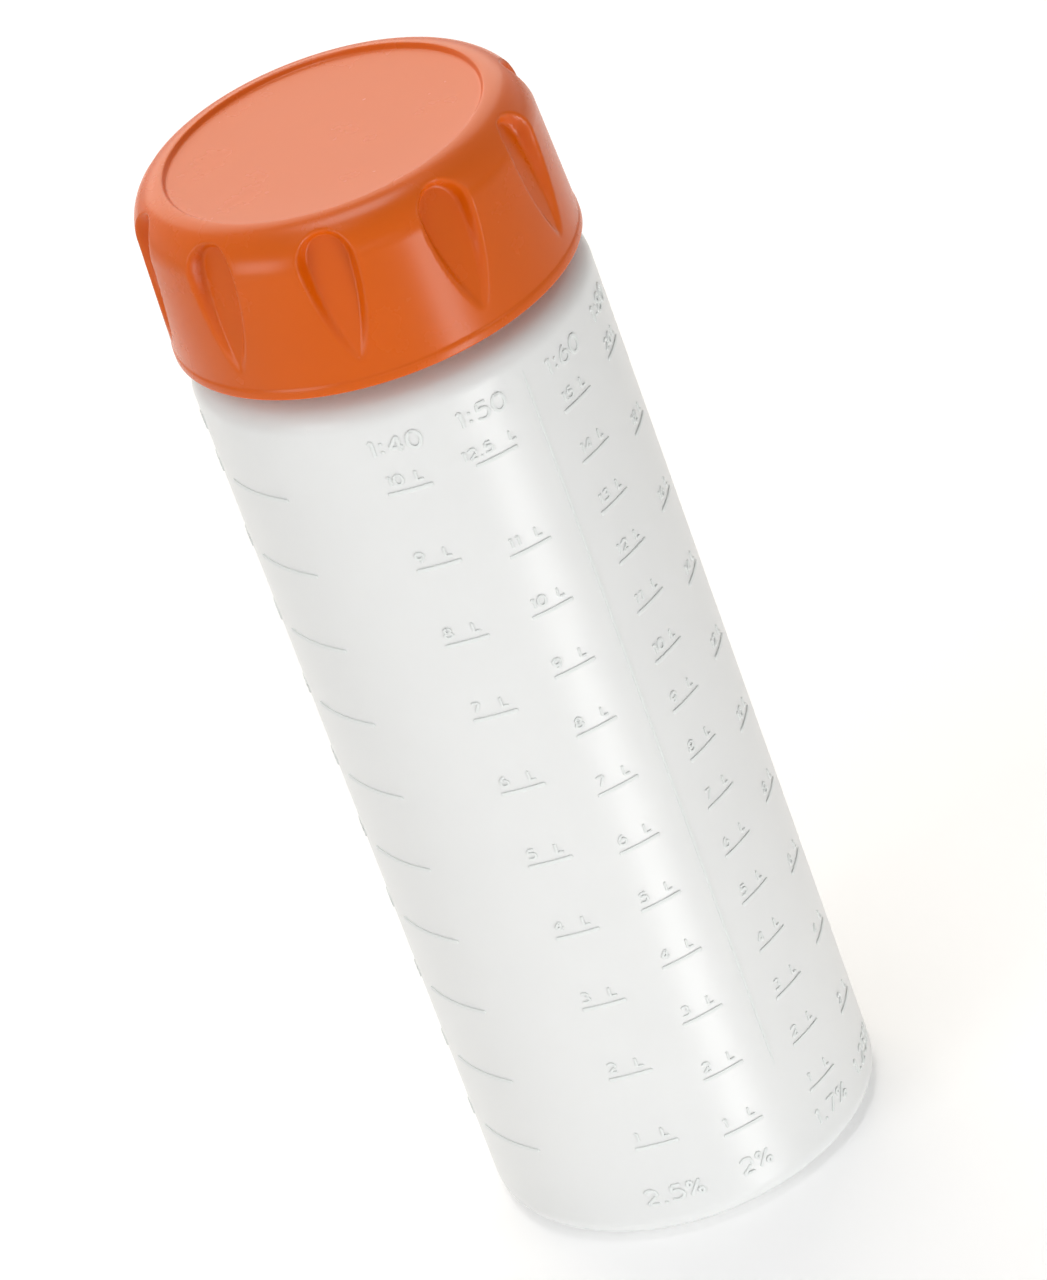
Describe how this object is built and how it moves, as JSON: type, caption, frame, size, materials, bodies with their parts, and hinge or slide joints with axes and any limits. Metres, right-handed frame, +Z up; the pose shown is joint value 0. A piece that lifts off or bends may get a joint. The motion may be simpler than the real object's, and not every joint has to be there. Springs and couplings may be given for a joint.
{
  "type": "oil bottle",
  "caption": "Tall round measuring bottle of milky plastic with raised mixing scales and a wide orange screw cap with scooped finger grips.",
  "frame": {"origin": "centre of the base, on the surface that the bottle stands on", "axes": "+Z up along the bottle's axis, -Y towards the side that carries the 1:40 and 1:50 mixing scales, +X to the right seen from that side"},
  "size_m": [0.055, 0.055, 0.1585],
  "materials": {
    "milky_polyethylene": "blow-moulded natural polyethylene, milky and translucent, satin with a soft sheen",
    "orange_polypropylene": "injection-moulded, orange all through, semi-gloss with a fine orange peel",
    "seal_foam": "off-white polyethylene foam disc, matt"
  },
  "bodies": {
    "bottle": {"bottle_body": "milky_polyethylene"},
    "seal": {"cap_seal": "seal_foam"},
    "cap": {"screw_cap": "orange_polypropylene"}
  },
  "joints": [
    {"name": "cap_lift", "type": "slide", "parent": "bottle", "child": "seal", "axis": [0, 0, 1], "range_m": [0, 0.02375]},
    {"name": "cap_turn", "type": "hinge", "parent": "seal", "child": "cap", "pos_m": [0, 0, 0.1359], "axis": [0, 0, 1], "range_deg": [0, 1710]}
  ],
  "couplings": [
    {"joint": "cap_lift", "follows": "cap_turn", "m_per_rad": 0.00079577}
  ]
}
